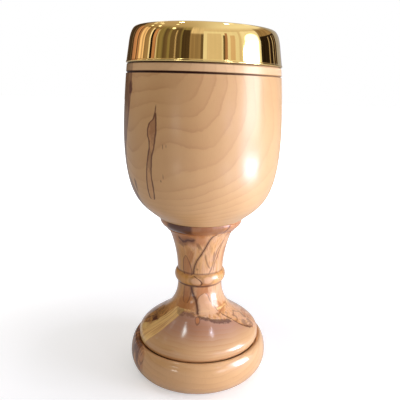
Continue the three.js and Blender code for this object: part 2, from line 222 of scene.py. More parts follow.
class Finishes(PropertyGroup):
    """Colours of the woods and metals, and the fineness of the round forms"""

    turn_steps: IntProperty(
        name="Turn steps",
        description="Faces round each turned piece",
        default=160,
        min=24,
        max=400,
    )
    pale_wood: colour("Pale wood", (215, 169, 117), "The bowl's sapwood")
    pale_line: colour("Pale growth line", (188, 136, 88), "The bowl's growth lines")
    tan_wood: colour("Tan wood", (217, 162, 102), "The stem's light wood")
    amber_wood: colour("Amber wood", (184, 116, 66), "The stem's darker flames")
    # Partly painted shade: laid on the stem's left, the side away from the window.
    golden_wood: colour("Golden wood", (216, 156, 80), "The yellow wood at the stem's left")
    straw_wood: colour("Straw wood", (246, 202, 128), "The bright streak on the dome's left")
    peach_wood: colour("Peach wood", (218, 168, 126), "The stem's palest wood")
    shoulder_wood: colour("Shoulder wood", (249, 215, 173), "The strip over the burnt groove")
    mauve_wood: colour("Mauve wood", (178, 130, 102), "The heartwood across the dome")
    heartwood: colour("Heartwood", (96, 52, 32), "Dark heartwood in the bowl, collar and foot")
    foot_wood: colour("Foot wood", (208, 162, 112), "The foot's wood")
    # Also painted shade in the creases over and under the bead.
    vein: colour("Vein", (84, 40, 20), "Dark veins and bark marks")
    # Also painted shade: the line under the gilt band and the dark in the foot's quirk.
    burnt: colour("Burnt line", (56, 26, 18), "The burnt groove and the quirk")
    gilt: colour("Gilt", (252, 222, 148), "The polished gilding")
    brass: colour("Brass", (181, 147, 74), "The boss under the cup")
    steel: colour("Steel", (150, 152, 156), "Rod, nut and washers")
    cork: colour("Cork", (172, 122, 80), "The cork ring")
    felt: colour("Felt", (74, 31, 36), "The felt under the foot")


class ChaliceSettings(PropertyGroup):
    """All that can be set on the chalice"""

    foot: PointerProperty(type=FootSizes)
    stem: PointerProperty(type=StemSizes)
    bowl: PointerProperty(type=BowlSizes)
    band: PointerProperty(type=BandSizes)
    finishes: PointerProperty(type=Finishes)


def settings():
    return bpy.context.scene.chalice


# Outlines, as points in the XZ plane: x is the radius and z the level.


def at(radius, level):
    return Vector((radius, 0.0, level))


def reach(start, distance, direction):
    """A point at a distance and direction from another; 0 is outwards and 90 degrees up."""
    return start + Vector((math.cos(direction), 0.0, math.sin(direction))) * distance


def bend(start, start_handle, end_handle, end, steps):
    return interpolate_bezier(start, start_handle, end_handle, end, steps + 1)


def round_turn(centre, width, height, first, last, steps):
    """Part of an ellipse, from one angle to another in degrees."""
    turns = [math.radians(first + (last - first) * i / steps) for i in range(steps + 1)]
    return [centre + at(width * math.cos(t), height * math.sin(t)) for t in turns]


def inset(outline, depth):
    """The outline moved to its left-hand side by a depth."""
    moved = []
    for i, point in enumerate(outline):
        along = outline[min(i + 1, len(outline) - 1)] - outline[max(i - 1, 0)]
        along.normalize()
        moved.append(point + Vector((-along.z, 0.0, along.x)) * depth)
    return moved


# Pieces


def linked(name, data):
    """A new object in the scene, at the origin."""
    thing = bpy.data.objects.new(name, data)
    bpy.context.scene.collection.objects.link(thing)
    return thing


def as_mesh(name, bm):
    mesh = bpy.data.meshes.new(name)
    bm.to_mesh(mesh)
    bm.free()
    return mesh


def turned(name, outline, node, material, closed=True):
    """Spins an outline once round Z to make the piece that stands for a node."""
    bm = bmesh.new()
    verts = [bm.verts.new(point) for point in outline]
    pairs = list(zip(verts, verts[1:]))
    if closed:
        pairs.append((verts[-1], verts[0]))
    bmesh.ops.spin(
        bm,
        geom=verts + [bm.edges.new(pair) for pair in pairs],
        cent=(0.0, 0.0, 0.0),
        axis=(0.0, 0.0, 1.0),
        angle=math.tau,
        steps=settings().finishes.turn_steps,
        use_merge=True,
    )
    bmesh.ops.remove_doubles(bm, verts=bm.verts, dist=WELD)
    bmesh.ops.recalc_face_normals(bm, faces=bm.faces)
    mesh = as_mesh(name, bm)
    mesh.shade_smooth()
    mesh.set_sharp_from_angle(angle=SHARP)
    mesh.materials.append(material)
    piece = linked(name, mesh)
    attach(piece, "root")
    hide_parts(node)


def foot_outline(s):
    """The foot: underside with its recesses, rounded edge, crown, quirk and mortise."""
    widest = at(s.radius, s.widest)
    crown = at(s.crown_radius, s.crown)
    dip = (s.crown_radius - s.seat_radius) / 3
    return [
        at(s.rod_hole, s.counterbore),
        at(s.counterbore_radius, s.counterbore),
        at(s.counterbore_radius, s.recess),
        at(s.recess_radius, s.recess),
        at(s.recess_radius, s.underside),
        *round_turn(at(s.flat_radius, s.widest), s.radius - s.flat_radius,
                    s.widest - s.underside, -90, 0, 20),
        *bend(widest, widest + at(0, s.shoulder_rise),
              crown + at(s.shoulder_run, 0), crown, 14)[1:],
        *bend(crown, crown - at(dip, 0), at(s.seat_radius + dip, s.seat),
              at(s.seat_radius, s.seat), 10)[1:],
        at(s.mortise_radius, s.seat),
        at(s.mortise_radius, s.mortise),
        at(s.rod_hole, s.mortise),
    ]


def stem_outline(s, rod_hole):
    """Spigot, dome, lower stem, bead, upper stem, fillet, collar and tenon, bored through."""
    slope_foot = at(s.slope_radius, s.slope_level)
    dome_edge = at(s.dome_radius, s.dome_widest)
    stem_foot = at(s.stem_radius, s.bead_foot - NECK)
    bulge = s.bead_radius - s.upper_crease
    half = (s.bead_top - s.bead_foot) / 2
    arc = (half * half + bulge * bulge) / (2 * bulge)
    sweep = math.degrees(math.asin(half / arc))
    upper_foot = at(s.upper_crease, s.bead_top + s.fillet)
    cove_end = at(s.cove_radius, s.cove)
    fillet = round_turn(cove_end + at(0, s.fillet / 2), s.fillet, s.fillet / 2, -90, 60, 5)
    brow = at(s.collar_radius, s.bowl_seat - s.collar_edge)
    return [
        at(rod_hole, s.spigot_foot),
        at(s.spigot_radius, s.spigot_foot),
        at(s.spigot_radius, s.dome_seat),
        at(s.dome_seat_radius, s.dome_seat),
        *round_turn(at(s.dome_seat_radius, s.dome_widest), s.dome_radius - s.dome_seat_radius,
                    s.dome_widest - s.dome_seat, -62, 0, 10),
        *bend(dome_edge, dome_edge + at(0, s.dome_edge),
              reach(slope_foot, s.slope_length, -s.slope), slope_foot, 24)[1:],
        *bend(slope_foot, reach(slope_foot, s.cove_length, math.pi - s.slope),
              stem_foot - at(0, s.stem_rise), stem_foot, 22)[1:],
        at(s.lower_crease, s.bead_foot),
        *round_turn(at(s.bead_radius - arc, s.bead_foot + half), arc, arc, -sweep, sweep, 14),
        *bend(upper_foot, upper_foot + at(0, s.upper_rise),
              reach(cove_end, COVE_TAIL, COVE_TAIL_TURN), cove_end, 26),
        *fillet[1:],
        *bend(fillet[-1], fillet[-1] + at(COLLAR_SWELL, s.fillet),
              brow - at(0, COLLAR_DROP), brow, 10)[1:],
        at(s.collar_radius, s.bowl_seat - COLLAR_CHAMFER),
        at(s.collar_radius - COLLAR_CHAMFER, s.bowl_seat),
        at(s.spigot_radius, s.bowl_seat),
        at(s.spigot_radius, s.tenon_top),
        at(rod_hole, s.tenon_top),
    ]


def band_skin(b):
    """Outer outline of the rim band, from above its foot to the lip's highest circle."""
    foot, lean, apex = (
        at(b.foot_radius, b.foot),
        at(b.lean_radius, b.lean),
        at(b.lip_radius, b.top),
    )
    run_on = lean + (lean - foot).normalized() * b.shoulder
    return [foot, *bend(lean, run_on, apex + at(b.lip_flat, 0), apex, 16)]


def lip_inside(b, depth, radius):
    """The lip's inner quarter, moved into the metal by a depth and ending on a radius."""
    centre = at(b.lip_radius, b.top - b.inner_drop)
    return round_turn(centre, b.lip_radius - radius, b.inner_drop - depth, 90, 180, 8)


def cup_round(b, radius, floor):
    """The rounded lower part of the cup or of its cavity, from the floor outwards."""
    centre = at(b.cup_floor_radius, b.cup_round)
    return round_turn(centre, radius - b.cup_floor_radius, b.cup_round - floor, -90, 0, 18)


def split_at(curve, level):
    """The parts of a rising list of points below and above a level."""
    for i, (low, high) in enumerate(zip(curve, curve[1:])):
        if low.z <= level <= high.z:
            cut = low.lerp(high, (level - low.z) / (high.z - low.z))
            return [*curve[: i + 1], cut], [cut, *curve[i + 1:]]
    raise ValueError("the level lies outside the curve")


def bowl_outline(s, b, stem, rod_hole):
    """Seat, swelling wall with its groove, shoulder, rebate, cavity, pocket and mortise."""
    seat = at(s.seat_radius, stem.bowl_seat)
    haunch = at(s.haunch_radius, s.haunch)
    widest = at(s.radius, s.widest)
    edge = at(s.shoulder_radius, s.shoulder - s.shoulder_round)
    rise = bend(seat, reach(seat, s.rise_length, s.rise_angle),
                reach(haunch, s.haunch_below, s.haunch_angle - math.pi), haunch, 14)
    swell = bend(haunch, reach(haunch, s.haunch_above, s.haunch_angle),
                 widest - at(0, s.swell), widest, 18)
    draw = bend(widest, widest + at(0, s.draw),
                reach(edge, s.lean_length, s.lean - math.pi / 2), edge, 24)
    below, rest = split_at(draw, s.groove - s.groove_height / 2)
    above = split_at(rest, s.groove + s.groove_height / 2)[1]
    bottom = at(below[-1].x - s.groove_depth, s.groove)
    groove = [
        below[-1].lerp(bottom, GROOVE_WALL) - at(0, s.groove_height * GROOVE_TUCK),
        bottom,
        above[0].lerp(bottom, GROOVE_WALL) + at(0, s.groove_height * GROOVE_TUCK),
    ]
    depth = b.wall + CLEARANCE
    rebate = inset(band_skin(b), depth)
    return [
        at(rod_hole, s.mortise),
        at(stem.spigot_radius + CLEARANCE, s.mortise),
        at(stem.spigot_radius + CLEARANCE, stem.bowl_seat),
        *rise, *swell[1:], *below[1:], *groove, *above,
        *(at(s.shoulder_radius, s.shoulder) - at(inwards, down) * s.shoulder_round
          for inwards, down in SHOULDER_CURVE),
        at(rebate[0].x, s.shoulder),
        *rebate[1:],
        *lip_inside(b, depth, s.cavity_radius)[1:],
        *reversed(cup_round(b, s.cavity_radius, s.floor)),
        at(s.pocket_radius, s.floor),
        at(s.pocket_radius, s.pocket),
        at(rod_hole, s.pocket),
    ]


def band_outline(b):
    """A thin wall of even thickness, with a small rolled foot and a skirt inside the cup."""
    skin = band_skin(b)
    inside = inset(skin, b.wall)
    outer_cup = b.cup_radius + b.wall
    tuck = b.foot_height * BAND_ROLL_TUCK
    roll = at(b.foot_radius - tuck, b.foot + b.foot_height / 2)
    return [
        at(inside[0].x, b.foot),
        at(b.foot_radius - BAND_FOOT_FACE, b.foot),
        *round_turn(roll, b.foot_flare + tuck, b.foot_height / 2, -75, 75, 8),
        *skin[1:],
        *lip_inside(b, 0, b.cup_radius)[1:],
        at(b.cup_radius, b.seam),
        at(outer_cup, b.seam),
        *reversed(lip_inside(b, b.wall, outer_cup)),
        *reversed(inside[1:-1]),
    ]


def cup_outline(b):
    """The cup's shell, from the middle of its underside round to the middle of its floor."""
    floor = b.cup_underside + b.wall
    return [
        at(0, b.cup_underside),
        *cup_round(b, b.cup_radius + b.wall, b.cup_underside),
        at(b.cup_radius + b.wall, b.seam),
        at(b.cup_radius, b.seam),
        *reversed(cup_round(b, b.cup_radius, floor)),
        at(0, floor),
    ]


def felt_outline(s):
    """The felt disc, from the middle of its underside to the middle of its top."""
    radius, top = s.felt_radius, s.felt_thickness
    outline = [at(0, 0)]
    for start, corner, end in (
        (at(radius - FELT_EDGE, 0), at(radius, 0), at(radius, FELT_EDGE)),
        (at(radius, top - FELT_EDGE), at(radius, top), at(radius - FELT_EDGE, top)),
    ):
        outline += bend(start, start.lerp(corner, 0.55), end.lerp(corner, 0.55), end, 3)
    return [*outline, at(0, top)]


# Shader nodes


def feed(tree, socket, value):
    """Links another node's output to an input, or sets the value there."""
    if isinstance(value, bpy.types.NodeSocket):
        tree.links.new(value, socket)
    else:
        socket.default_value = value


def rgba(value):
    return value if isinstance(value, bpy.types.NodeSocket) else (*value[:3], 1.0)


class Nodes:
    """Adds shader nodes to a tree. Each value given is a number, or another node's output."""

    def __init__(self, tree):
        self.tree = tree

    def add(self, kind, inputs=None, **properties):
        node = self.tree.nodes.new("ShaderNode" + kind)
        for name, value in properties.items():
            setattr(node, name, value)
        for key, value in (inputs or {}).items():
            feed(self.tree, node.inputs[key], value)
        return node

    def maths(self, operation, *values):
        return self.add("Math", dict(enumerate(values)), operation=operation).outputs[0]

    def plus(self, first, second):
        return self.maths("ADD", first, second)

    def minus(self, first, second):
        return self.maths("SUBTRACT", first, second)

    def times(self, first, second):
        return self.maths("MULTIPLY", first, second)

    def over(self, first, second):
        return self.maths("DIVIDE", first, second)

    def all(self, first, *others):
        for mask in others:
            first = self.times(first, mask)
        return first

    def any(self, first, *others):
        for mask in others:
            first = self.maths("MAXIMUM", first, mask)
        return first

    def vector(self, operation, *values, output="Vector"):
        node = self.add("VectorMath", dict(enumerate(values)), operation=operation)
        return node.outputs[output]

    def stretched(self, vector, scale):
        """A vector times a factor along each axis."""
        return self.vector("MULTIPLY", vector, scale)

    def dot(self, vector, other):
        return self.vector("DOT_PRODUCT", vector, other, output="Value")

    def parts(self, vector):
        return self.add("SeparateXYZ", {0: vector}).outputs

    def joined(self, *values):
        return self.add("CombineXYZ", dict(enumerate(values))).outputs[0]

    def turn_of(self, x, y):
        """Degrees round Z from the front, and towards +X."""
        return self.maths("DEGREES", self.maths("ARCTAN2", x, self.times(y, -1.0)))

    def spread(self, value, low, high, first=0.0, last=1.0, kind="SMOOTHSTEP"):
        """Maps a value between two bounds onto two others, held at the ends."""
        inputs = {0: value, 1: low, 2: high, 3: first, 4: last}
        return self.add("MapRange", inputs, interpolation_type=kind).outputs[0]

    def fall(self, value, low, high):
        """1 up to a bound, and 0 from a second one."""
        return self.spread(value, low, high, 1.0, 0.0)

    def within(self, value, low, high, edge):
        """1 between two bounds, fading over the edge outside them."""
        return self.times(self.spread(value, low - edge, low), self.fall(value, high, high + edge))

    def mix(self, factor, first, second, kind="MIX"):
        inputs = {0: factor, 6: rgba(first), 7: rgba(second)}
        return self.add("Mix", inputs, data_type="RGBA", blend_type=kind).outputs[2]

    def noise(self, vector, scale, detail=2.0, roughness=0.5, distortion=0.0):
        inputs = {
            "Vector": vector,
            "Scale": scale,
            "Detail": detail,
            "Roughness": roughness,
            "Distortion": distortion,
        }
        return self.add("TexNoise", inputs).outputs["Fac"]

    def sway(self, point, scale, detail, amount):
        """Noise to both sides of 0, times an amount."""
        return self.times(self.minus(self.noise(point, scale, detail, 0.6), 0.5), amount)

    def ramp(self, factor, stops):
        """A colour ramp through (place, colour) stops."""
        node = self.add("ValToRGB", {"Fac": factor})
        elements = node.color_ramp.elements
        while len(elements) < len(stops):
            elements.new(1.0)
        for element, (place, shade) in zip(elements, stops):
            element.position = place
            element.color = rgba(shade)
        return node.outputs["Color"]

    def drawn(self, value, points):
        """The height of a smooth line through (place, height) points, over a value."""
        places, heights = zip(*points)
        low, high = min(heights), max(heights)
        room = (high - low) or 1.0
        first, last = places[0], places[-1]
        node = self.add("FloatCurve", {"Value": self.spread(value, first, last, kind="LINEAR")})
        line = node.mapping.curves[0]
        while len(line.points) < len(points):
            line.points.new(0.5, 0.5)
        for knot, (place, height) in zip(line.points, points):
            knot.location = (place - first) / (last - first), (height - low) / room
            knot.handle_type = "AUTO"
        node.mapping.update()
        return self.spread(node.outputs[0], 0.0, 1.0, low, low + room, "LINEAR")

    def group(self, name, **inputs):
        """Places a node group, built the first time that it is asked for."""
        node = self.tree.nodes.new("ShaderNodeGroup")
        node.node_tree = bpy.data.node_groups.get(name) or GROUPS[name]()
        for key, value in inputs.items():
            feed(self.tree, node.inputs[key], value)
        return node.outputs


def new_group(name, inputs, outputs):
    """An empty node group, and its inputs. A number makes a float socket, None a vector."""
    tree = bpy.data.node_groups.new(name, "ShaderNodeTree")
    for in_out, sockets in (("INPUT", inputs), ("OUTPUT", outputs)):
        for label, value in sockets.items():
            kind = "NodeSocketVector" if value is None else "NodeSocketFloat"
            socket = tree.interface.new_socket(name=label, in_out=in_out, socket_type=kind)
            if value is not None:
                socket.default_value = value
    return Nodes(tree), tree.nodes.new("NodeGroupInput").outputs


def finish_group(nodes, **results):
    end = nodes.tree.nodes.new("NodeGroupOutput")
    for name, socket in results.items():
        nodes.tree.links.new(socket, end.inputs[name])
    return nodes.tree


def turned_place():
    """Turn in degrees from the front, level and radius in millimetres, and the point."""
    outputs = {"Turn": 0.0, "Level": 0.0, "Radius": 0.0, "Point": None}
    n, g = new_group("Turned Place", {"Vector": None}, outputs)
    point = n.stretched(g["Vector"], (1 / MM, 1 / MM, 1 / MM))
    x, y, z = n.parts(point)
    radius = n.maths("SQRT", n.plus(n.times(x, x), n.times(y, y)))
    return finish_group(n, Turn=n.turn_of(x, y), Level=z, Radius=radius, Point=point)


def vein_mask():
    """A line of some width round a distance of 0, frayed by noise and tapered to its ends."""
    inputs = {
        "Off": 0.0, "Along": 0.0, "Start": 0.0, "End": 1.0, "Taper": 2.0,
        "Width": 0.5, "Softness": 0.3, "Fray": 0.3, "Point": None,
    }
    n, g = new_group("Vein", inputs, {"Mask": 0.0})
    off = n.maths("ABSOLUTE", n.plus(g["Off"], n.sway(g["Point"], 0.45, 3.0, g["Fray"])))
    swell = n.spread(n.noise(g["Point"], 0.22), 0.3, 0.7, 0.55, 1.35, "LINEAR")
    into = n.spread(n.minus(g["Along"], g["Start"]), 0.0, g["Taper"])
    out = n.spread(n.minus(g["End"], g["Along"]), 0.0, g["Taper"])
    edge = n.minus(off, n.times(n.times(g["Width"], 0.5), swell))
    return finish_group(n, Mask=n.all(n.fall(edge, 0.0, g["Softness"]), into, out))


# The years of growth in the bowl, as a quadratic of the place in units of 40 mm round a
# point 150 mm up: start, slopes, squares x x, y y, z z, and products x y, y z, z x.
GROWTH_CENTRE, GROWTH_UNIT = (0.0, 0.0, 150.0), 0.025
GROWTH_START, GROWTH_SLOPES = 13.772, (1.774, 4.559, -2.295)
GROWTH_SQUARES, GROWTH_PRODUCTS = (-4.336, -3.887, 1.505), (-3.444, 1.307, 2.414)
# Local bulges in the same units: height in years, centre, width.
BULGES = (
    (2.376, (-0.455, -1.105, -0.113), 0.5),
    (3.0, (-0.837, -0.961, 0.39), 0.675),
)


def growth():
    """How many years lie between the pith and a point of the bowl."""
    n, g = new_group("Growth", {"Point": None}, {"Years": 0.0})
    place = n.vector("SUBTRACT", g["Point"], GROWTH_CENTRE)
    place = n.stretched(place, (GROWTH_UNIT, GROWTH_UNIT, GROWTH_UNIT))
    x, y, z = n.parts(place)
    years = n.plus(n.dot(place, GROWTH_SLOPES), GROWTH_START)
    years = n.plus(years, n.dot(n.stretched(place, place), GROWTH_SQUARES))
    years = n.plus(years, n.dot(n.stretched(place, n.joined(y, z, x)), GROWTH_PRODUCTS))
    for height, centre, width in BULGES:
        far = n.over(n.vector("DISTANCE", place, centre, output="Value"), width)
        bell = n.maths("EXPONENT", n.times(n.maths("POWER", far, 2.0), -1.0))
        years = n.plus(years, n.times(bell, height))
    return finish_group(n, Years=years)


def rings():
    """A growth line for each year: a slow darkening that ends in a sharp edge."""
    n, g = new_group("Rings", {"Years": 0.0, "Wobble": 0.3, "Point": None}, {"Mask": 0.0})
    share = n.maths("FRACT", n.plus(g["Years"], n.sway(g["Point"], 0.06, 4.0, g["Wobble"])))
    slow, sharp = n.spread(share, 0.1, 0.92, 0.0, 0.5), n.spread(share, 0.72, 0.92, 0.0, 0.5)
    faint = n.spread(n.noise(g["Point"], 0.04), 0.35, 0.65, 0.35, 1.0)
    return finish_group(n, Mask=n.all(n.plus(slow, sharp), n.fall(share, 0.92, 1.0), faint))


def frayed_side():
    """1 on the positive side of a distance in millimetres, with a frayed edge."""
    inputs = {"Off": 0.0, "Softness": 0.5, "Fray": 0.6, "Point": None}
    n, g = new_group("Side", inputs, {"Mask": 0.0})
    off = n.plus(g["Off"], n.sway(g["Point"], 0.45, 3.0, g["Fray"]))
    return finish_group(n, Mask=n.spread(n.over(off, g["Softness"]), -0.5, 0.5))


def loops():
    """Thin closed outlines, where a noise passes a level."""
    n, g = new_group("Loops", {"Vector": None, "Level": 0.5, "Width": 0.02}, {"Mask": 0.0})
    off = n.maths("ABSOLUTE", n.minus(n.noise(g["Vector"], 1.0, 1.5, 0.45, 0.6), g["Level"]))
    return finish_group(n, Mask=n.fall(n.over(off, g["Width"]), 0.2, 1.0))


GROUPS = {
    "Turned Place": turned_place,
    "Vein": vein_mask,
    "Side": frayed_side,
    "Loops": loops,
    "Rings": rings,
    "Growth": growth,
}


class Surface(Nodes):
    """The nodes of one material, with its shader and the object's coordinates to hand."""

    def __init__(self, name):
        self.material = bpy.data.materials.new(name)
        self.material.use_nodes = True
        super().__init__(self.material.node_tree)
        self.shader = self.tree.nodes["Principled BSDF"]
        self.place = self.add("TexCoord").outputs["Object"]

    def finish(self, **inputs):
        """Feeds the shader; its inputs have spaces where the keywords have underscores."""
        for key, value in inputs.items():
            feed(self.tree, self.shader.inputs[key.replace("_", " ")], value)
        return self.material


COAT_IOR, WOOD_SPECULAR = 1.5, 0.2


class Wood(Surface):
    """A wood, whose colour is laid over the first one layer by layer."""

    def __init__(self, name, first):
        super().__init__(name)
        self.colour = first
        outputs = self.group("Turned Place", Vector=self.place)
        self.turn, self.level, self.radius, self.point = outputs
        self.arc = self.times(self.radius, math.pi / 180)

    def lay(self, mask, colour, share=1.0):
        """Lays a colour over the wood where the mask is 1, no stronger than the share."""
        if share < 1.0:
            mask = self.times(mask, share)
        self.colour = self.mix(mask, self.colour, colour)

    def lacquered(self, roughness, coat, coat_roughness):
        return self.finish(
            Base_Color=self.colour,
            Roughness=roughness,
            Coat_Weight=coat,
            Coat_Roughness=coat_roughness,
            Coat_IOR=COAT_IOR,
            Specular_IOR_Level=WOOD_SPECULAR,
        )

    def right_of(self, points):
        """Millimetres to the right of an upright line through (level, turn) points."""
        return self.times(self.minus(self.turn, self.drawn(self.level, points)), self.arc)

    def left_of(self, points):
        return self.times(self.right_of(points), -1.0)

    def above(self, points):
        """Millimetres above a line that runs round, through (turn, level) points."""
        return self.minus(self.level, self.drawn(self.turn, points))

    def below(self, points):
        return self.times(self.above(points), -1.0)

    def upright(self, points, width, softness=0.35, fray=0.5, taper=2.5):
        """A vein that climbs, through (level, turn) points."""
        off = self.right_of(points)
        return self.vein(off, self.level, points, width, softness, fray, taper)

    def level_line(self, points, width, softness, fray, taper=4.0):
        """A vein that runs round, through (turn, level) points."""
        return self.vein(self.above(points), self.turn, points, width, softness, fray, taper)

    def vein(self, off, along, points, width, softness, fray, taper):
        start, end = points[0][0], points[-1][0]
        return self.group(
            "Vein", Off=off, Along=along, Start=start, End=end, Taper=taper,
            Width=width, Softness=softness, Fray=fray, Point=self.point,
        )["Mask"]

    def side(self, off, softness, fray):
        """1 where a distance is positive."""
        return self.group("Side", Off=off, Softness=softness, Fray=fray, Point=self.point)["Mask"]

    def lens(self, left, right):
        """The area between two upright lines."""
        inner = self.side(self.right_of(left), 0.3, 0.3)
        outer = self.side(self.left_of(right), 0.3, 0.3)
        return self.all(inner, outer, self.within(self.level, left[0][0], left[-1][0], 0.3))

    def ellipse(self, turn, level, wide, high, fray):
        """How far from a middle, in shares of the half sizes given in millimetres."""
        x = self.over(self.times(self.minus(self.turn, turn), self.arc), wide)
        y = self.over(self.minus(self.level, level), high)
        far = self.vector("LENGTH", self.joined(x, y), output="Value")
        return self.plus(far, self.sway(self.point, 0.4, 3.0, fray * 2))

    def spot(self, turn, level, wide, high, fray=0.5):
        """A soft frayed patch."""
        return self.fall(self.ellipse(turn, level, wide, high, fray), 0.55, 1.15)

    def loop(self, turn, level, wide, high, width, fray=0.2):
        """The outline of a patch."""
        far = self.minus(self.ellipse(turn, level, wide, high, fray), 1.0)
        return self.fall(self.maths("ABSOLUTE", far), width * 0.4, width)

    def streaks(self, scale, low, high, share=1.0, detail=3.0, distortion=0.0):
        """Stretched noise, from 0 to a share, along an axis with a small scale."""
        field = self.stretched(self.point, scale)
        return self.spread(self.noise(field, 1.0, detail, 0.55, distortion), low, high, 0.0, share)

    def outlines(self, scale, level, width):
        vector = self.stretched(self.point, scale)
        return self.group("Loops", Vector=vector, Level=level, Width=width)["Mask"]

    def rings(self, years, wobble):
        return self.group("Rings", Years=years, Wobble=wobble, Point=self.point)["Mask"]


# Lines on the woods. Upright ones are (level, turn) points and those that run round are
# (turn, level) points, in millimetres and degrees.
LENS_LEFT = (
    (116.5, -39.4), (118.1, -42.4), (124.0, -42.3), (130.7, -41.2), (137.2, -39.8), (142.8, -38.1),
    (148.1, -37.1), (153.3, -38.5), (157.6, -37.6), (161.3, -33.7), (164.7, -32.5),
)
LENS_RIGHT = (
    (116.5, -39.4), (119.8, -37.2), (124.7, -36.6), (130.2, -36.9), (135.8, -36.2), (141.2, -35.3),
    (145.8, -33.4), (150.2, -32.5), (155.4, -31.6), (160.5, -31.7), (164.7, -32.5),
)
LENS_TIP = ((161.0, -33.4), (164.7, -32.5), (169.0, -31.9))
BOWL_STREAK = (
    (100.0, -58.0), (111.4, -60.4), (117.4, -61.4), (124.7, -65.9), (130.8, -70.6), (139.6, -70.0),
    (149.4, -66.2), (158.8, -63.0), (167.9, -60.7), (175.9, -59.8), (192.0, -59.8),
)
# Small marks: turn, level, half width and half height.
TICKS = (
    (-26.5, 147.0, 0.35, 1.6), (-24.0, 147.5, 0.3, 1.2), (-27.0, 131.0, 0.4, 1.5),
    (-29.0, 128.5, 0.5, 0.9),
)


def bowl_wood():
    c = settings().finishes
    w = Wood("pale_wood", c.pale_wood)
    years = w.group("Growth", Point=w.point)["Years"]
    w.lay(w.streaks((0.03, 0.03, 0.012), 0.3, 0.7, 0.25), c.pale_line)
    w.lay(w.all(w.rings(years, 0.9), w.spread(w.turn, -5.0, 45.0, 0.55, 0.26)), c.pale_line)
    w.lay(w.streaks((2.2, 2.2, 0.35), 0.5, 0.75, 0.14), c.pale_line)
    # The dark heartwood streak at the left, sharp to its right and fading to its left.
    streak = w.all(
        w.side(w.left_of(BOWL_STREAK), 1.2, 1.6),
        w.spread(w.right_of(BOWL_STREAK), -26.0, -13.0),
        w.streaks((0.35, 0.35, 0.03), 0.25, 0.55, 0.85),
    )
    w.lay(streak, c.heartwood)
    w.lay(w.upright(BOWL_STREAK, 0.5, 0.7, 1.0), c.vein, 0.6)
    w.lay(w.spot(-60.5, 176.5, 2.6, 4.2), c.vein)
    w.lay(w.spot(-58.0, 123.0, 1.4, 4.5, 0.8), c.heartwood, 0.7)
    # The long bark inclusion in front, and the ticks beside it.
    lens = w.lens(LENS_LEFT, LENS_RIGHT)
    w.lay(w.all(lens, w.spread(w.level, 138.0, 156.0, 0.25, 0.5)), c.amber_wood)
    shade = w.any(w.spot(-36.8, 138.5, 2.4, 8.0, 0.9), w.spot(-33.8, 157.0, 3.0, 9.0, 0.9))
    w.lay(w.all(lens, shade), c.heartwood, 0.35)
    bark = w.any(
        w.upright(LENS_LEFT, 0.4, 0.5, 0.5, 0.8),
        w.upright(LENS_RIGHT, 0.4, 0.5, 0.5, 0.8),
        w.upright(LENS_TIP, 0.3, 0.4, 0.3),
    )
    w.lay(bark, c.vein, 0.85)
    w.lay(w.any(*(w.spot(*tick, 0.7) for tick in TICKS)), c.heartwood, 0.55)
    w.lay(w.spread(w.level, 185.2, 186.0), c.shoulder_wood, 0.3)
    # The burnt groove, and a thin line of painted shade where the gilding meets the wood.
    off = w.maths("ABSOLUTE", w.minus(w.level, settings().bowl.groove / MM))
    right = w.spread(w.turn, -10.0, 60.0)
    burnt = w.all(
        w.fall(w.plus(off, w.times(right, 0.22)), 0.45, 0.8),
        w.spread(right, 0.0, 1.0, 1.0, 0.62, "LINEAR"),
    )
    # Painted shade in the gap under the band's foot, lighter towards the right.
    gap_shade = w.all(w.spread(w.level, 188.9, 189.5), w.spread(right, 0.0, 1.0, 0.9, 0.3, "LINEAR"))
    w.lay(w.any(burnt, gap_shade), c.burnt)
    return w.lacquered(0.45, 0.7, 0.25)


MAIN_VEIN = (
    (66.2, -16.0), (70.4, -14.5), (75.0, -8.3), (80.2, 2.7), (85.8, 11.8), (90.9, 19.3),
    (94.2, 29.1),
)
BEAD_VEIN = ((57.8, -18.4), (58.6, -7.6), (61.0, 4.3), (62.7, 2.3), (64.6, -7.2), (66.0, -15.9))
LOWER_VEIN = (
    (42.1, -1.3), (43.3, -3.0), (46.7, -4.8), (50.3, -8.4), (53.1, -15.5), (57.1, -20.7),
    (58.6, -21.0),
)
GREY_VEINS = (
    ((65.4, 17.7), (69.0, 27.4), (75.3, 34.2), (80.8, 37.5), (85.8, 46.5), (89.2, 54.3)),
    ((66.8, 33.5), (72.1, 36.0), (77.3, 41.9), (84.0, 47.0), (89.5, 51.0)),
    ((68.9, 29.8), (71.0, 22.0), (74.0, 16.1), (80.9, 9.7)),
    ((70.0, 31.0), (74.0, 32.0), (82.2, 32.0)),
)
SPIKE = ((81.9, 2.7), (84.7, -2.5), (88.5, -7.5))
COLLAR_VEIN = ((93.0, 33.0), (96.0, 37.5), (99.4, 43.0))
SQUIGGLE = (
    (-48.1, 90.9), (-40.0, 88.7), (-34.9, 87.6), (-23.2, 89.0), (-13.5, 89.1), (-7.2, 90.1),
)
# The two edges of each leaf and of the lobe.
LEAF = (
    ((65.4, -27.8), (66.0, -41.3), (71.0, -45.7), (78.4, -34.4)),
    ((65.4, -27.8), (66.1, -20.1), (71.2, -23.0), (75.4, -28.8), (78.4, -34.4)),
)
LOW_LEAF = (
    ((47.6, -29.5), (50.6, -42.7), (58.4, -40.8)),
    ((47.6, -29.5), (51.8, -23.7), (58.4, -20.7)),
)
LOBE = (
    ((42.6, -1.5), (45.0, -2.8), (49.1, -5.2), (52.0, -1.5), (53.6, 6.0), (54.4, 13.0)),
    ((42.6, 40.0), (46.1, 33.4), (49.4, 25.7), (52.6, 21.2), (54.4, 13.0)),
)
HEART_TOP = (
    (-95.0, 39.0), (-53.0, 41.2), (-39.4, 42.9), (-21.0, 43.2), (-4.2, 41.7), (7.5, 41.0),
    (31.3, 38.8), (54.0, 37.4), (60.0, 34.6), (65.0, 32.4), (76.3, 29.4), (86.0, 20.0),
)
STREAK_TOP = (
    (-92.0, 26.0), (-84.0, 29.7), (-70.0, 34.2), (-66.0, 37.0), (-61.0, 41.5), (-50.0, 44.5),
)
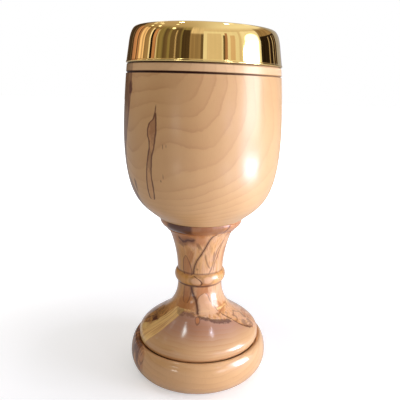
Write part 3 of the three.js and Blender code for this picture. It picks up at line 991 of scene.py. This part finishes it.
STREAK_LOW = (
    (-70.0, 14.0), (-57.7, 25.3), (-48.6, 32.5), (-41.7, 38.1), (-37.5, 40.7), (-30.0, 44.0),
)
# Lines that run round the dome, each with its width.
DOME_LINES = (
    (HEART_TOP[4:8], 1.0),
    (((40.7, 43.1), (47.0, 40.4), (54.5, 38.2), (59.3, 35.4), (64.0, 33.2), (76.3, 30.0)), 0.35),
    (((-89.0, 30.4), (-83.0, 34.2), (-77.0, 36.6)), 0.6),
)


def stem_wood():
    c = settings().finishes
    w = Wood("figured_wood", c.tan_wood)
    flame = w.noise(w.stretched(w.point, (0.12, 0.12, 0.035)), 1.0, 3.0, 0.5, 1.2)
    w.colour = w.ramp(flame, (
        (0.32, c.tan_wood), (0.45, c.peach_wood), (0.53, c.tan_wood), (0.62, c.amber_wood),
        (0.74, c.tan_wood),
    ))
    # Yellower wood towards the left, partly painted shade on the side away from the window.
    w.lay(w.spread(w.turn, -10.0, -50.0, 0.0, 0.85), c.golden_wood)
    w.lay(w.streaks((1.2, 1.2, 0.07), 0.42, 0.72, 0.55), c.amber_wood)
    w.lay(w.streaks((0.45, 0.45, 0.06), 0.52, 0.76, 0.3, 4.0, 0.8), c.heartwood)
    w.lay(w.within(w.level, 59.5, 66.0, 0.6), c.golden_wood, 0.5)
    # Darker, redder wood under the collar and beside the lower vein.
    rich = w.any(
        w.all(w.within(w.level, 87.5, 94.0, 3.5), w.within(w.turn, -72.0, 4.0, 14.0)),
        w.spot(8.0, 54.0, 5.0, 7.0, 0.7),
        w.spot(14.0, 60.0, 4.0, 4.0, 0.7),
        w.spot(-32.0, 47.0, 7.0, 7.0, 0.9),
    )
    w.lay(rich, c.amber_wood, 0.75)
    # Heartwood across the dome, with growth lines that run round it.
    heart = w.all(
        w.side(w.below(HEART_TOP), 0.5, 1.6),
        w.side(w.below(STREAK_LOW), 0.8, 1.6),
        w.spread(w.turn, 100.0, 82.0),
    )
    years = w.plus(w.times(w.level, 0.55), w.times(w.turn, 0.012))
    mauve = w.mix(w.spread(w.level, 37.0, 28.5, 0.0, 0.95), c.mauve_wood, c.foot_wood)
    w.lay(heart, w.mix(w.times(w.rings(years, 1.4), 0.4), mauve, c.amber_wood))
    # The bright streak on the dome's left, with its grain along it.
    streak = w.all(
        w.side(w.below(STREAK_TOP), 0.7, 1.4),
        w.side(w.above(STREAK_LOW), 1.0, 1.6),
        w.spread(w.turn, -96.0, -88.0),
    )
    along = w.joined(w.times(w.above(STREAK_LOW), 0.45), w.times(w.turn, 0.05))
    grain = w.spread(w.noise(along, 1.0, 4.0, 0.6, 0.4), 0.44, 0.66, 0.0, 0.68)
    w.lay(streak, w.mix(grain, c.straw_wood, c.amber_wood))
    left = w.all(
        w.side(w.above(STREAK_TOP), 1.0, 2.0),
        w.spread(w.level, 42.0, 38.0),
        w.within(w.turn, -110.0, -62.0, 5.0),
        w.streaks((0.25, 0.25, 0.4), 0.4, 0.62, 0.6, 4.0, 1.0),
    )
    w.lay(w.any(left, w.spot(-74.0, 35.2, 3.6, 1.5, 1.1)), c.heartwood)
    # Dark lines, patches and cracks along the heartwood's edge.
    lines = w.any(*(w.level_line(points, width, 0.6, 2.2) for points, width in DOME_LINES))
    w.lay(lines, c.vein, 0.8)
    patches = w.any(w.spot(-36.0, 42.6, 4.0, 1.8, 1.2), w.spot(-16.0, 42.6, 3.4, 1.5, 1.2))
    w.lay(patches, c.heartwood, 0.5)
    cracks = w.all(
        w.outlines((0.1, 0.1, 0.16), 0.5, 0.06),
        w.within(w.turn, 36.0, 84.0, 6.0),
        w.side(w.above(HEART_TOP), 1.0, 1.5),
        w.spread(w.level, 46.0, 41.0),
    )
    w.lay(cracks, c.heartwood, 0.55)
    w.lay(w.spot(-2.3, 40.1, 1.3, 1.5, 0.3), c.amber_wood)
    w.lay(w.loop(-2.3, 40.1, 1.4, 1.6, 0.3), c.vein, 0.5)
    # The leaves and the lobe of the stem, and the pale patches of the bead.
    w.lay(w.any(w.lens(*LEAF), w.lens(*LOW_LEAF)), c.amber_wood, 0.6)
    pale = w.any(
        w.lens(*LOBE),
        w.spot(-7.2, 62.5, 3.9, 2.7, 0.2),
        w.spot(18.3, 63.0, 3.6, 2.6, 0.2),
    )
    w.lay(pale, c.peach_wood, 0.75)
    thin = w.any(
        *(w.upright(points, 0.25, 0.5, 0.4, 0.5) for points in LEAF + LOW_LEAF + LOBE),
        w.times(w.loop(-7.2, 62.5, 4.1, 2.9, 0.3), 0.6),
        w.times(w.loop(18.3, 63.0, 3.8, 2.8, 0.3), 0.4),
    )
    w.lay(thin, c.vein, 0.5)
    grey = w.any(*(w.upright(points, 0.35, 0.7, 0.9) for points in GREY_VEINS))
    w.lay(grey, c.heartwood, 0.55)
    w.lay(w.upright(SPIKE, 1.3, 0.8, 0.8), c.heartwood, 0.6)
    # The dark veins, each with a soft brown border.
    border = w.any(
        w.upright(MAIN_VEIN, 0.4, 1.5, 0.8, 1.0),
        w.upright(LOWER_VEIN, 1.0, 2.0, 1.2, 1.0),
        w.level_line(SQUIGGLE, 2.0, 2.4, 2.0, 6.0),
        w.spot(-38.0, 86.5, 3.5, 2.4, 1.0),
    )
    w.lay(border, c.heartwood, 0.5)
    thick = w.any(
        w.upright(MAIN_VEIN, 0.4, 0.4, 0.5, 1.0),
        w.upright(BEAD_VEIN, 0.5, 0.4, 0.4, 0.6),
        w.upright(LOWER_VEIN, 0.8, 0.6, 0.9, 1.0),
        w.level_line(SQUIGGLE, 0.5, 0.9, 2.0, 6.0),
        w.times(w.spot(-7.0, 69.8, 0.8, 0.9), 0.5),
    )
    w.lay(thick, c.vein, 0.85)
    # The collar: amber all round, dark in front and browner to the right.
    collar = w.spread(w.level, 93.2, 94.4)
    w.lay(collar, c.amber_wood, 0.7)
    dark = w.any(
        w.all(w.within(w.turn, -48.0, -15.0, 9.0), w.streaks((0.12, 0.12, 0.4), 0.1, 0.5)),
        w.times(w.within(w.turn, -14.0, 30.0, 8.0), 0.45),
        w.times(w.upright(COLLAR_VEIN, 0.5, 1.0, 1.2, 0.5), 0.8),
    )
    w.lay(w.all(collar, dark), c.heartwood)
    darkest = w.all(w.within(w.turn, -44.0, -22.0, 10.0), w.streaks((0.2, 0.2, 0.3), 0.3, 0.6))
    w.lay(w.all(collar, darkest), c.vein, 0.8)
    # Painted shade in the creases under and over the bead, lighter towards the right.
    foot, top = settings().stem.bead_foot / MM, settings().stem.bead_top / MM
    crease_shade = w.any(
        w.within(w.level, foot - 0.5, foot + 0.4, 0.6),
        w.times(w.within(w.level, top - 0.1, top + 0.4, 0.5), 0.55),
    )
    w.lay(w.all(crease_shade, w.spread(w.turn, 10.0, 60.0, 0.85, 0.5)), c.vein)
    return w.lacquered(0.4, 1.0, 0.13)


FOOT_HEART = (
    (0.0, -62.0), (8.0, -54.0), (11.0, -51.0), (17.0, -50.0), (21.0, -51.0), (22.8, -60.0),
)


def foot_wood():
    c = settings().finishes
    w = Wood("foot_wood", c.foot_wood)
    # Growth lines as planes that lean against the table, seen as nested bows on the side.
    lean = w.dot(w.point, (0.035, -0.02, 0.26))
    bow = w.maths("POWER", w.times(w.plus(w.turn, 18.0), 0.03), 2.0)
    years = w.plus(lean, w.times(bow, -0.5))
    w.lay(w.streaks((0.03, 0.03, 0.05), 0.3, 0.7, 0.35), c.tan_wood)
    w.lay(w.rings(years, 0.9), c.pale_line, 0.45)
    w.lay(w.streaks((1.4, 1.4, 0.5), 0.5, 0.75, 0.2), c.pale_line)
    # The darker figure round the left end.
    side = w.all(w.side(w.left_of(FOOT_HEART), 1.5, 2.5), w.spread(w.turn, -125.0, -105.0))
    w.lay(side, c.amber_wood, 0.7)
    w.lay(w.all(side, w.streaks((0.17, 0.17, 0.045), 0.42, 0.56, 0.85, 3.0, 0.9)), c.heartwood)
    w.lay(w.all(side, w.outlines((0.14, 0.14, 0.06), 0.5, 0.04)), c.vein, 0.5)
    # The quirk: a burnt line with painted shade in it, fading to the right; painted shade in the
    # cove.
    seat = settings().foot.seat_radius / MM
    upper = w.spread(w.level, 18.0, 20.0)
    # Painted shade in the cove beside the crease, fading outwards.
    w.lay(w.all(w.spread(w.radius, seat + 1.5, seat + 4.2, 0.45, 0.0), upper), c.amber_wood)
    # The quirk's dark line: burnt, and painted shade, lighter towards the right.
    quirk = w.all(
        w.fall(w.radius, seat + 0.9, seat + 1.9),
        upper,
        w.spread(w.turn, 0.0, 65.0, 1.0, 0.5),
    )
    w.lay(quirk, c.burnt)
    return w.lacquered(0.4, 1.0, 0.13)


def polished_gilt():
    c = settings().finishes
    n = Surface("polished_gilt")
    smear = n.noise(n.place, 60.0, 3.0)
    base = n.mix(n.spread(smear, 0.3, 0.7, 0.0, 0.12), c.gilt, c.brass)
    return n.finish(Base_Color=base, Roughness=n.spread(smear, 0.3, 0.8, 0.02, 0.06), Metallic=1.0)


def plain_finish(name, base, rough, metallic, grain):
    """A finish for the small inner pieces: a base colour varied by fine noise."""
    n = Surface(name)
    speckle = n.noise(n.place, grain, 4.0, 0.6)
    shades = n.mix(speckle, base, [value * 0.6 for value in base])
    roughness = n.spread(speckle, 0.2, 0.8, rough * 0.8, rough)
    return n.finish(Base_Color=shades, Roughness=roughness, Metallic=metallic)


# Stage

LAMPS = (
    # name, turn, metres out, metres up, width, height, colour, power
    ("window", 71.0, 1.98, 0.33, 0.94, 1.0, (0.9, 0.9, 1.0), 28.0),
    ("low_window", 57.0, 0.386, 0.096, 0.13, 0.18, (0.74, 0.78, 1.0), 0.28),
    ("table_glow", 72.0, 0.37, 0.022, 0.15, 0.07, (0.58, 0.72, 1.0), 1.2),
    ("table_glint", 38.0, 0.3, 0.015, 0.06, 0.025, (0.9, 0.9, 1.0), 0.03),
    ("white_lamp", -36.0, 0.46, 0.15, 0.075, 0.018, (0.97, 1.0, 1.0), 0.05),
    ("white_echo", -35.0, 0.386, 0.012, 0.06, 0.014, (1.0, 1.0, 0.95), 0.03),
    ("lilac_lamp", 33.0, 0.456, 0.16, 0.075, 0.018, (0.85, 0.82, 1.0), 0.09),
    ("lilac_echo", 31.0, 0.386, 0.012, 0.06, 0.014, (0.85, 0.82, 1.0), 0.035),
    ("left_ceiling", -84.8, 0.638, 1.935, 0.14, 0.14, (0.9, 1.0, 1.0), 1.5),
    ("right_ceiling", 80.3, 0.579, 1.953, 0.14, 0.14, (0.86, 0.85, 1.0), 1.5),
)
LAMP_AIM = 0.12  # the highest level that a lamp faces
CAMERA_PLACE = (0.0, -0.2887, 0.17755)
CAMERA_YAW, CAMERA_PITCH, CAMERA_ROLL = 0.0529, 0.19335, -0.03286
CAMERA_LENS, CAMERA_SENSOR, CAMERA_SHIFT = 43.2, 36.0, (-0.0675, -0.0438)
FLOOR_RADIUS, FLOOR_TONE = 6.0, (0.8, 0.8, 0.8)
GLOW_NEAR, GLOW_FAR, GLOW_LEAST = 0.06, 0.4, 0.42  # where the floor runs to white, and from what


def heading(turn, rise):
    """The direction at a turn from the front and a rise, both in radians."""
    flat = math.cos(rise)
    return Vector((math.sin(turn) * flat, -math.cos(turn) * flat, math.sin(rise)))


def make_lamp(name, turn, out, up, width, height, shade, power):
    """An oblong lamp at a turn from the front, facing the middle of the chalice."""
    data = bpy.data.lights.new(name, "AREA")
    data.shape = "RECTANGLE"
    data.size, data.size_y = width, height
    data.energy, data.color = power, shade
    lamp = linked(name, data)
    lamp.location = heading(math.radians(turn), 0.0) * out + Vector((0.0, 0.0, up))
    aim = Vector((0.0, 0.0, min(up, LAMP_AIM))) - lamp.location
    lamp.rotation_euler = aim.to_track_quat("-Z", "Y").to_euler()


def make_camera():
    """The camera stands in front and above the foot, looking slightly down."""
    data = bpy.data.cameras.new("camera")
    data.sensor_width, data.lens = CAMERA_SENSOR, CAMERA_LENS
    data.shift_x, data.shift_y = CAMERA_SHIFT
    camera = linked("camera", data)
    forward = heading(math.pi - CAMERA_YAW, -CAMERA_PITCH)
    right = Vector((math.cos(CAMERA_YAW), -math.sin(CAMERA_YAW), 0.0))
    up = right.cross(forward)
    cos, sin = math.cos(CAMERA_ROLL), math.sin(CAMERA_ROLL)
    axes = Matrix((right * cos - up * sin, right * sin + up * cos, -forward)).transposed().to_4x4()
    axes.translation = Vector(CAMERA_PLACE)
    camera.matrix_world = axes
    bpy.context.scene.camera = camera


WHITE, CREAM, SAND, TAN = (252, 252, 255), (242, 240, 236), (224, 212, 204), (188, 172, 156)
BROWN, UMBER, DARK, BLACK = (150, 132, 114), (104, 90, 74), (74, 62, 50), (40, 32, 28)
ROSE, COPPER, OLIVE, SLATE = (222, 198, 184), (180, 138, 120), (142, 134, 104), (176, 178, 190)
LOW = -20  # below all that the gilding shows
# The plain room that the gilding shows. Each panel lies over those before it: turn from and
# to, rise from and to, all in degrees, its tone, and how soft its edges are.
ROOM = (
    (-190, -72, LOW, 60, BROWN, 3.0),
    (-160, -139, LOW, 34, DARK, 3.0),
    (-136, -133, LOW, 34, BLACK, 0.8),
    (-132, -114, LOW, 30, COPPER, 0.8),
    (-120, -118, LOW, 30, UMBER, 0.8),
    (-112, -101, LOW, 31, ROSE, 0.8),
    (-90.5, -88, LOW, 32, WHITE, 0.6),
    (-87.5, -84, LOW, 28, BLACK, 0.8),
    (-83, -77.5, LOW, 30, COPPER, 0.8),
    (-77, -75.5, LOW, 30, WHITE, 0.5),
    (-74, -20, LOW, 52, OLIVE, 3.0),
    (-64, -58, LOW, 34, UMBER, 1.5),
    (-52, -38, LOW, 40, UMBER, 2.5),
    (-45, -43.5, LOW, 32, TAN, 0.6),
    (-34, -23, LOW, 34, DARK, 1.0),
    (-22, -4, LOW, 40, BROWN, 1.5),
    (-6, -3, LOW, 36, UMBER, 0.8),
    (-20, 100, 30, 60, SAND, 4.0),
    (-2, 100, LOW, 33, CREAM, 0.8),
    (3, 24, LOW, 29, SAND, 0.6),
    (27, 30, LOW, 26, UMBER, 0.8),
    (30, 33, LOW, 30, COPPER, 0.8),
    (38, 45, LOW, 26, ROSE, 0.8),
    (52, 55, LOW, 36, SAND, 0.8),
    (58, 91, LOW, 34, WHITE, 0.8),
    (92, 140, 20, 40, BROWN, 3.0),
    (92, 136, LOW, 22, BLACK, 0.8),
    (111, 113, LOW, 20, TAN, 0.6),
    (122, 123, LOW, 20, SAND, 0.5),
    (129, 130.5, LOW, 20, BROWN, 0.5),
    (137, 190, LOW, 50, SLATE, 3.0),
)
FOLDS = ((0.36, (0.35, 0.3, 0.27)), (0.5, (1.0, 0.9, 0.8)), (0.64, (1.8, 1.7, 1.5)))
# The window: the turn of its middle, its half width, where its arch starts and how high it is.
ARCH_TURN, ARCH_HALF, ARCH_START, ARCH_HEIGHT = 74.5, 13.5, 20.0, 9.0
ARCH_LIGHT = (3.0, 3.0, 3.3)
# The ceiling's small lamps: turn and rise in degrees, and half their width.
CEILING_LAMPS = (
    (-165.0, 34.0, 3.2), (-148.0, 47.0, 2.8), (-124.0, 47.0, 2.8), (-105.0, 38.0, 2.4),
    (-96.0, 50.0, 2.4), (-86.0, 40.0, 2.8), (-53.0, 37.0, 3.0), (-59.0, 54.0, 2.2),
    (-113.0, 52.5, 2.6), (127.0, 69.0, 4.0), (146.0, 51.0, 3.6),
)
CEILING_LIGHT = (2.2, 2.2, 2.1)
AMBIENT_LEFT, AMBIENT_RIGHT = (0.26, 0.235, 0.165), (0.5, 0.5, 0.61)
AMBIENT_TOP = (0.66, 0.64, 0.6)
PLAIN_WHITE = (1.0, 1.0, 1.0)


def room_tones(n, turn, rise):
    """The colour of the room at a turn and a rise, both in degrees."""
    room = n.mix(n.spread(turn, -60.0, 60.0), paint(*BROWN), paint(*CREAM))
    for first, last, low, high, tone, edge in ROOM:
        cover = n.times(n.within(turn, first, last, edge), n.within(rise, low, high, edge))
        room = n.mix(cover, room, paint(*tone))
    # Folds, which vary much faster round than up, mostly at the left and far right.
    folds = n.ramp(n.noise(n.joined(turn, n.times(rise, 0.05)), 0.3, 3.0, 0.6), FOLDS)
    left = n.times(n.spread(turn, -74.0, -64.0, 0.75, 0.35), n.spread(turn, -20.0, 2.0, 1.0, 0.15))
    share = n.any(left, n.spread(turn, 92.0, 96.0, 0.0, 0.6))
    room = n.mix(1.0, room, n.mix(share, PLAIN_WHITE, folds), "MULTIPLY")
    over_start = n.minus(n.maths("MAXIMUM", rise, ARCH_START), ARCH_START)
    arch = n.joined(n.over(n.minus(turn, ARCH_TURN), ARCH_HALF), n.over(over_start, ARCH_HEIGHT))
    far = n.vector("LENGTH", arch, output="Value")
    return n.mix(n.spread(far, 1.0, 0.94), room, ARCH_LIGHT)


def make_world():
    """White to the camera, a furnished room to reflections, a soft level to everything else."""
    world = bpy.data.worlds.new("studio")
    bpy.context.scene.world = world
    world.use_nodes = True
    world.node_tree.nodes.clear()
    n = Nodes(world.node_tree)
    way = n.add("TexCoord").outputs["Generated"]
    x, y, z = n.parts(way)
    turn, rise = n.turn_of(x, y), n.maths("DEGREES", n.maths("ARCSINE", z))
    ceiling = n.mix(n.spread(x, -0.5, 0.6), paint(*TAN), paint(*WHITE))
    room = n.mix(n.spread(rise, 34.0, 50.0), room_tones(n, turn, rise), ceiling)
    room = n.mix(n.spread(rise, 2.0, -6.0), room, paint(*BROWN))
    for lamp_turn, lamp_rise, half in CEILING_LAMPS:
        spot = heading(math.radians(lamp_turn), math.radians(lamp_rise))
        half = math.radians(half)
        near = n.spread(n.dot(way, spot), math.cos(half), math.cos(half * 0.6))
        room = n.mix(near, room, CEILING_LIGHT)
    ray = n.add("LightPath").outputs
    ambient = n.mix(n.spread(x, -1.0, 1.0), AMBIENT_LEFT, AMBIENT_RIGHT)
    ambient = n.mix(n.spread(z, 0.1, 0.9, 0.0, 0.5), ambient, AMBIENT_TOP)
    shown = n.mix(ray["Is Glossy Ray"], ambient, room)
    shown = n.mix(ray["Is Camera Ray"], shown, PLAIN_WHITE)
    background = n.add("Background", {"Color": shown, "Strength": 1.0})
    n.add("OutputWorld", {"Surface": background.outputs[0]})


def make_floor():
    """A pale floor that runs to white away from the object and keeps its shadow."""
    bm = bmesh.new()
    bmesh.ops.create_circle(bm, cap_ends=True, radius=FLOOR_RADIUS, segments=64)
    floor = linked("floor", as_mesh("floor", bm))
    material = bpy.data.materials.new("pale_floor")
    material.use_nodes = True
    material.node_tree.nodes.clear()
    n = Nodes(material.node_tree)
    far = n.vector("LENGTH", n.add("TexCoord").outputs["Object"], output="Value")
    glow = n.spread(far, GLOW_NEAR, GLOW_FAR, GLOW_LEAST, 1.0)
    glow = n.times(glow, n.add("LightPath").outputs["Is Camera Ray"])
    plain = n.add("BsdfDiffuse", {"Color": rgba(FLOOR_TONE)})
    light = n.add("Emission", {"Color": rgba(PLAIN_WHITE), "Strength": glow})
    both = n.add("AddShader", {0: plain.outputs[0], 1: light.outputs[0]})
    n.add("OutputMaterial", {"Surface": both.outputs[0]})
    floor.data.materials.append(material)


# Operators


class CHALICE_OT_stage(Operator):
    """Makes the floor, the world, the camera and the lamps"""

    bl_idname = "chalice.stage"
    bl_label = "Stage"

    def execute(self, context):
        context.scene.view_settings.view_transform = "Standard"
        make_floor()
        make_world()
        make_camera()
        for lamp in LAMPS:
            make_lamp(*lamp)
        return {"FINISHED"}


class CHALICE_OT_foot(Operator):
    """Turns the foot"""

    bl_idname = "chalice.foot"
    bl_label = "Foot"

    def execute(self, context):
        turned("turned_foot", foot_outline(settings().foot), "foot", foot_wood())
        return {"FINISHED"}


class CHALICE_OT_stem(Operator):
    """Turns the dome, stem, bead and collar"""

    bl_idname = "chalice.stem"
    bl_label = "Stem"

    def execute(self, context):
        s = settings()
        outline = stem_outline(s.stem, s.foot.rod_hole)
        turned("turned_stem", outline, "stem", stem_wood())
        return {"FINISHED"}


class CHALICE_OT_bowl(Operator):
    """Turns the bowl"""

    bl_idname = "chalice.bowl"
    bl_label = "Bowl"

    def execute(self, context):
        s = settings()
        outline = bowl_outline(s.bowl, s.band, s.stem, s.foot.rod_hole)
        turned("turned_bowl", outline, "bowl", bowl_wood())
        return {"FINISHED"}


class CHALICE_OT_rim_band(Operator):
    """Spins the gilt rim band and the cup"""

    bl_idname = "chalice.rim_band"
    bl_label = "Rim band and cup"

    def execute(self, context):
        gilt, band = polished_gilt(), settings().band
        turned("gilt_band", band_outline(band), "rim_band", gilt)
        turned("gilt_cup", cup_outline(band), "cup_liner", gilt, closed=False)
        return {"FINISHED"}


class CHALICE_OT_fastening(Operator):
    """Finishes the boss, cork, rod, washers and nut, and makes the felt"""

    bl_idname = "chalice.fastening"
    bl_label = "Fastening and felt"

    def execute(self, context):
        c = settings().finishes
        steel = plain_finish("plain_steel", c.steel, 0.45, 1.0, 900.0)
        finishes = {
            "cup_boss": plain_finish("turned_brass", c.brass, 0.4, 1.0, 700.0),
            "cork_ring": plain_finish("cork", c.cork, 0.95, 0.0, 1400.0),
            "tie_rod": steel,
            "hex_nut": steel,
            "spring_washer": steel,
            "flat_washer": steel,
        }
        for name, material in finishes.items():
            NODES[name].material_slots[0].material = material
        felt = plain_finish("felt", c.felt, 1.0, 0.0, 2500.0)
        outline = felt_outline(settings().foot)
        turned("base_felt", outline, "felt_pad", felt, closed=False)
        return {"FINISHED"}


class CHALICE_PT_panel(Panel):
    """Lists the steps that make the chalice"""

    bl_idname = "CHALICE_PT_panel"
    bl_label = "Chalice"
    bl_space_type = "VIEW_3D"
    bl_region_type = "UI"
    bl_category = "Chalice"

    def draw(self, context):
        for step in STEPS:
            self.layout.operator(step.bl_idname)


STEPS = (
    CHALICE_OT_stage,
    CHALICE_OT_foot,
    CHALICE_OT_stem,
    CHALICE_OT_bowl,
    CHALICE_OT_rim_band,
    CHALICE_OT_fastening,
)
GROUPS_OF_SIZES = (FootSizes, StemSizes, BowlSizes, BandSizes, Finishes, ChaliceSettings)
CLASSES = (*GROUPS_OF_SIZES, *STEPS, CHALICE_PT_panel)


def register():
    for cls in CLASSES:
        bpy.utils.register_class(cls)
    bpy.types.Scene.chalice = PointerProperty(type=ChaliceSettings)


def unregister():
    del bpy.types.Scene.chalice
    for cls in reversed(CLASSES):
        bpy.utils.unregister_class(cls)


def main():
    register()
    bpy.ops.chalice.stage()
    bpy.ops.chalice.foot()
    bpy.ops.chalice.stem()
    bpy.ops.chalice.bowl()
    bpy.ops.chalice.rim_band()
    bpy.ops.chalice.fastening()


if __name__ == "__main__":
    main()
